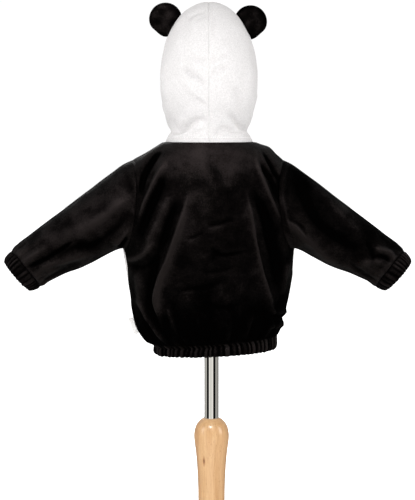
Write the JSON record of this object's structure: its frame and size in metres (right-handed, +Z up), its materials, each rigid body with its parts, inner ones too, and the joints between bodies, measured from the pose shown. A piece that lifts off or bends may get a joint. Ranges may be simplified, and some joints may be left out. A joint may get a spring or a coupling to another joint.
{
  "type": "panda costume on a dress form stand",
  "caption": "Toddler's hooded panda costume jacket in black and white velour, with round ears, on a limbless dress form with a steel pole and a turned wood stand.",
  "frame": {"origin": "centre of the base's underside, on the floor under the pole", "axes": "+Z up along the pole; the jacket's front faces -Y and the wearer's left is +X"},
  "size_m": [0.7008, 0.3, 1.1069],
  "materials": {
    "velour_black": "matt pile",
    "velour_white": "matt pile",
    "form_cloth": "matt jersey",
    "label_satin": "satin",
    "chrome": "polished",
    "beech": "clear lacquer"
  },
  "bodies": {
    "root": {"back": "velour_black", "front_left": "velour_white", "front_right": "velour_white", "sleeve_left": "velour_black", "sleeve_right": "velour_black", "cuff_left": "velour_black", "cuff_right": "velour_black", "hem_band": "velour_black", "hood_left": "velour_white", "hood_right": "velour_white", "ear_left": "velour_black", "ear_right": "velour_black", "side_label": "label_satin", "form_torso": "form_cloth", "head_block": "form_cloth", "pole": "chrome", "column": "beech", "base": "beech"}
  },
  "joints": []
}
